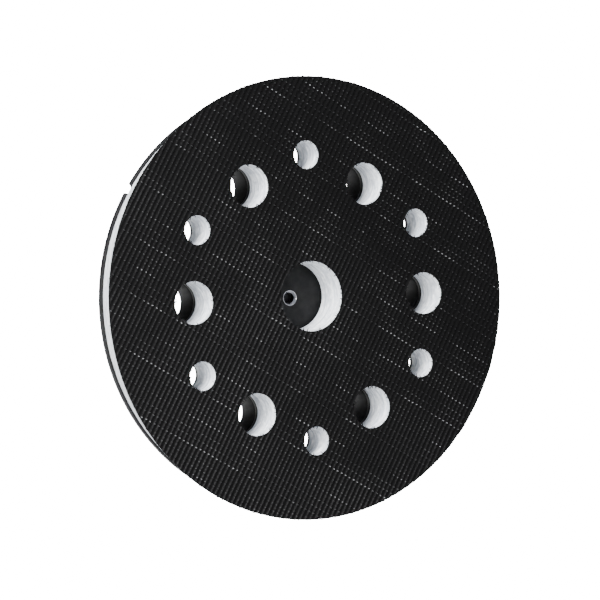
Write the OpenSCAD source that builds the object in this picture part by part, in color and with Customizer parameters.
// Backing pad for a 150 mm random orbital sander.
// A hook facing and a foam cushion are bonded to a thin laminate disc. A moulded carrier
// behind the disc holds six dust ducts and a steel hub with a threaded stud.
//
// Every module is drawn with Z as height above the hub seat, towards the work face, and
// X, Y across the face as it is seen from the front. stand() then turns the pad upright,
// so the stud points along +Y and the work face looks along -Y.

/* [Pad face] */
// Diameter of the work face
face_d = 150; // [148:0.5:152]
// Diameter of the foam where it meets the backing disc
foam_back_d = 141.6; // [139.6:0.1:142]
// Diameter of the centre hole in the facing
centre_d = 23.8; // [20:0.1:25]
// Diameter of the centre hole where the foam meets the disc
centre_back_d = 23; // [19:0.1:24]
// How far the centre hole is punched above the pad's axis
centre_rise = 0.6; // [0:0.1:0.8]

/* [Dust holes] */
// Number of large holes, and of small holes between them
holes_n = 6; // [6:1:6]
// Pitch circle of the large holes
large_pcd = 88.3; // [86:0.1:90]
// Large hole diameter at the work face
large_d = 14.4; // [13:0.1:15.4]
// Large hole diameter where the foam meets the disc
large_back_d = 14.5; // [12.5:0.1:15]
// Angle of the first large hole, counter-clockwise seen from the front
large_a = 2.2; // [0:0.1:10]
// Pitch circle of the small holes
small_pcd = 96.8; // [95:0.1:99]
// Small hole diameter at the work face
small_d = 9.8; // [8:0.1:10.6]
// Small hole diameter where the foam meets the disc
small_back_d = 9.4; // [8:0.1:10.2]
// Small hole diameter through the disc
small_disc_d = 10.3; // [10.2:0.1:11.4]
// Angle of the first small hole
small_a = 32.4; // [30:0.1:34]

/* [Layers] */
// Thickness of the hook facing, hooks included
facing_t = 1.3; // [1:0.1:1.6]
// Thickness of each bond film
bond_t = 0.2; // [0.1:0.05:0.3]
// Thickness of the foam cushion
foam_t = 13.3; // [12:0.1:15]
// Thickness of the laminate disc
disc_t = 2.1; // [1.8:0.1:2.4]
// Diameter of the laminate disc
disc_d = 143; // [142:0.2:145]

/* [Rim notch] */
// Diameter of the half-round index notch in the disc's rim
notch_d = 3.6; // [2:0.1:4]
// Angle of the notch
notch_a = 149.4; // [148:0.1:153]

/* [Duct carrier] */
// Length of each duct behind the disc
duct_h = 9.4; // [8:0.1:10]
// Inside diameter of each duct
duct_id = 14.6; // [14.2:0.1:15]
// Wall of each duct at its open end
duct_wall = 1.7; // [1.4:0.1:2]
// Diameter of the foot around each duct
duct_foot_d = 22.4; // [21:0.1:24]
// Diameter of the carrier's flange
flange_d = 76; // [74:0.5:78]
// Thickness of the flange and of the duct feet
flange_t = 2.2; // [2:0.1:2.6]
// Thickness of the radial ribs
rib_t = 2.2; // [1.8:0.1:3]
// Diameter of the hub boss
boss_d = 31; // [30:0.5:33]
// Diameter of the spigot that centres the disc
spigot_d = 25.8; // [25.6:0.1:26.4]

/* [Hub and stud] */
// Height of the hub's front face behind the foam: 0 is level with the foam's back
hub_face_set = 1.5; // [0.6:0.1:1.8]
// Across flats of the steel hub
hub_af = 22; // [21:0.5:23]
// Diameter of the raised seat that the spindle bears on
seat_d = 20; // [18:0.5:21]
// Diameter of the threaded stud, over the crests
stud_d = 7.94; // [7.94:0.02:8]
// Length of the stud beyond the seat
stud_l = 11; // [9:0.5:14]
// Diameter of the pressed end of the stud
stud_root_d = 9; // [8.6:0.1:9.4]
// Bore in the front end of the steel hub
bore_d = 3.4; // [3:0.1:4]
// Countersink around that bore
sink_d = 5; // [4.8:0.1:5.4]

/* [Rivets] */
// Pitch circle of the rivets
rivet_pcd = 60; // [58:0.5:62]
// Shank diameter
rivet_d = 4; // [3.5:0.1:4.2]
// Head diameter
rivet_head_d = 6.8; // [6.4:0.1:7.4]

/* [Hidden] */
$fn = 96;
eps = 0.05;

// heights above the hub seat
z_disc_back = duct_h + 1;
z_disc = z_disc_back + disc_t;
z_foam_back = z_disc + bond_t;
z_foam = z_foam_back + foam_t;
z_bond = z_foam + bond_t;
z_face = z_bond + facing_t;
z_hub = z_foam_back - bond_t - hub_face_set;
z_duct_end = z_disc_back - duct_h;
z_flange = z_disc_back - flange_t;

module stand() {
    rotate([90, 0, 0]) children();
}

module at(pcd, a, n) {
    for (i = [0 : n - 1])
        rotate([0, 0, a + i * 360 / n])
            translate([pcd / 2, 0, 0])
                children();
}

// straight holes of one layer, from z0 up by h
module layer_holes(z0, h, dl, ds, dc, rise) {
    at(large_pcd, large_a, holes_n)
        translate([0, 0, z0 - eps]) cylinder(h = h + 2 * eps, d = dl);
    at(small_pcd, small_a, holes_n)
        translate([0, 0, z0 - eps]) cylinder(h = h + 2 * eps, d = ds);
    translate([0, rise, z0 - eps]) cylinder(h = h + 2 * eps, d = dc);
}

// ---- facing and its bond ----

module hook_facing() {
    color([0.03, 0.03, 0.035]) stand()
        difference() {
            translate([0, 0, z_bond]) cylinder(h = facing_t, d = face_d, $fn = 180);
            layer_holes(z_bond, facing_t, large_d, small_d, centre_d, centre_rise);
        }
}

module facing_bond() {
    color([0.12, 0.12, 0.12]) stand()
        difference() {
            translate([0, 0, z_foam]) cylinder(h = bond_t, d = face_d - 0.2, $fn = 180);
            layer_holes(z_foam, bond_t, large_d, small_d, centre_d, centre_rise);
        }
}

// ---- foam, whose rim and holes narrow a little towards the disc ----

module foam_hole(back_d, front_d) {
    translate([0, 0, z_foam_back - eps])
        cylinder(h = foam_t + 2 * eps, d1 = back_d, d2 = front_d);
}

module foam_cushion() {
    color([0.93, 0.95, 0.96]) stand()
        difference() {
            translate([0, 0, z_foam_back])
                cylinder(h = foam_t, d1 = foam_back_d, d2 = face_d - 0.2, $fn = 180);
            at(large_pcd, large_a, holes_n) foam_hole(large_back_d, large_d);
            at(small_pcd, small_a, holes_n) foam_hole(small_back_d, small_d);
            translate([0, centre_rise, 0]) foam_hole(centre_back_d, centre_d);
        }
}

module disc_bond() {
    color([0.75, 0.75, 0.70]) stand()
        difference() {
            translate([0, 0, z_disc]) cylinder(h = bond_t, d = foam_back_d, $fn = 180);
            layer_holes(z_disc, bond_t, duct_id + 0.2, small_disc_d, spigot_d, 0);
        }
}

// ---- laminate disc ----

module backing_disc() {
    color([0.05, 0.05, 0.055]) stand()
        difference() {
            translate([0, 0, z_disc_back]) cylinder(h = disc_t, d = disc_d, $fn = 180);
            layer_holes(z_disc_back, disc_t, duct_id + 0.2, small_disc_d, spigot_d, 0);
            rotate([0, 0, notch_a])
                translate([disc_d / 2, 0, z_disc_back - eps])
                    cylinder(h = disc_t + 2 * eps, d = notch_d, $fn = 48);
            rivets_solid();
        }
}

// ---- rivets: a countersunk head in the disc, a domed head behind the carrier ----

module rivet() {
    head_h = 1.1;
    z_set = z_flange - 1;
    r = rivet_d / 2;
    rh = rivet_head_d / 2;
    rotate_extrude($fn = 48)
        polygon([[0, z_disc], [rh, z_disc], [r, z_disc - head_h], [r, z_set],
                 [rh, z_set], [rh, z_set - 0.4], [rh * 0.85, z_set - 0.9],
                 [rh * 0.5, z_set - 1.25], [0, z_set - 1.35]]);
}

module rivets_solid() {
    at(rivet_pcd, small_a, holes_n) rivet();
}

module carrier_rivets() {
    color([0.62, 0.63, 0.65]) stand() rivets_solid();
}

// ---- carrier: flange, six ducts, ribs and the hub boss, moulded in one ----

// flange and duct feet share one outline
module flange_plate() {
    translate([0, 0, z_flange])
        linear_extrude(flange_t)
            union() {
                circle(d = flange_d);
                at(large_pcd, large_a, holes_n) circle(d = duct_foot_d);
            }
}

module duct_outer() {
    r0 = duct_id / 2 + duct_wall;
    rotate_extrude()
        polygon([[0, z_flange + 0.5], [r0 + 0.9, z_flange + 0.5], [r0 + 0.9, z_flange - 0.2],
                 [r0 + 0.3, z_flange - 0.9], [r0, z_duct_end + 0.4],
                 [r0 - 0.4, z_duct_end], [0, z_duct_end]]);
}

module rib() {
    r0 = boss_d / 2 - 2;
    r1 = large_pcd / 2 - duct_id / 2 - 0.8;
    rotate([90, 0, 0])
        translate([0, 0, -rib_t / 2])
            linear_extrude(rib_t)
                polygon([[r0, z_flange + 0.5], [r1, z_flange + 0.5],
                         [r1, z_duct_end + 1.6], [r0, z_duct_end + 0.6]]);
}

module boss_outer() {
    r = boss_d / 2;
    rotate_extrude()
        polygon([[0, z_hub], [spigot_d / 2, z_hub], [spigot_d / 2, z_flange + 0.5],
                 [r + 2.2, z_flange + 0.5], [r + 2.2, z_flange - 0.2], [r + 1.2, z_flange - 0.5],
                 [r + 0.4, z_flange - 1.4], [r, z_flange - 2.4], [r, 1.1],
                 [r - 0.6, 0.5], [0, 0.5]]);
}

module duct_carrier() {
    color([0.06, 0.065, 0.07]) stand()
        difference() {
            union() {
                flange_plate();
                boss_outer();
                at(large_pcd, large_a, holes_n) duct_outer();
                at(0, large_a, holes_n) rib();
                difference() {
                    translate([0, 0, z_flange - 3]) cylinder(h = 3.5, d = 43.2);
                    translate([0, 0, z_flange - 3 - eps]) cylinder(h = 3.6, d = 40);
                }
                at(rivet_pcd, small_a, holes_n)
                    translate([0, 0, z_flange - 1]) cylinder(h = 1.5, d = 9.4, $fn = 48);
            }
            at(large_pcd, large_a, holes_n)
                translate([0, 0, z_duct_end - eps])
                    cylinder(h = duct_h + 2 * eps, d = duct_id);
            rivets_solid();
            hub_outer();
        }
}

// ---- steel hub, moulded into the boss, and the stud pressed into it ----

module hub_outer() {
    hex_d = hub_af / cos(30);
    translate([0, 0, 0.4]) cylinder(h = 5.1, d = hex_d, $fn = 6);
    rotate_extrude()
        polygon([[0, 0.4], [7.9, 0.4], [8, 5.4], [8, 6.6], [7, 7.0], [7, 7.8],
                 [8, 8.2], [8, z_hub - 2.3], [7.5, z_hub - 1.8], [sink_d / 2 + 0.15, z_hub - 1.8],
                 [sink_d / 2 + 0.15, z_hub], [0, z_hub]]);
    cylinder(h = 1, d = seat_d);
}

module steel_hub() {
    color([0.66, 0.67, 0.69]) stand()
        difference() {
            hub_outer();
            stud_body();
            translate([0, 0, 7]) cylinder(h = z_hub, d = bore_d, $fn = 64);
            rotate_extrude($fn = 64)
                polygon([[0, z_hub + 1], [sink_d / 2, z_hub + 1], [sink_d / 2, z_hub],
                         [bore_d / 2, z_hub - 0.75], [0, z_hub - 0.75]]);
        }
}

module stud_body() {
    r = stud_d / 2;
    rotate_extrude()
        polygon([[0, 7.5], [stud_root_d / 2 - 0.4, 7.5], [stud_root_d / 2, 7.1],
                 [stud_root_d / 2, 0], [r, 0], [r, 1 - stud_l], [r - 0.8, 0 - stud_l],
                 [0, 0 - stud_l]]);
}

module threaded_stud() {
    color([0.60, 0.61, 0.63]) stand() stud_body();
}

hook_facing();
facing_bond();
foam_cushion();
disc_bond();
backing_disc();
duct_carrier();
carrier_rivets();
steel_hub();
threaded_stud();
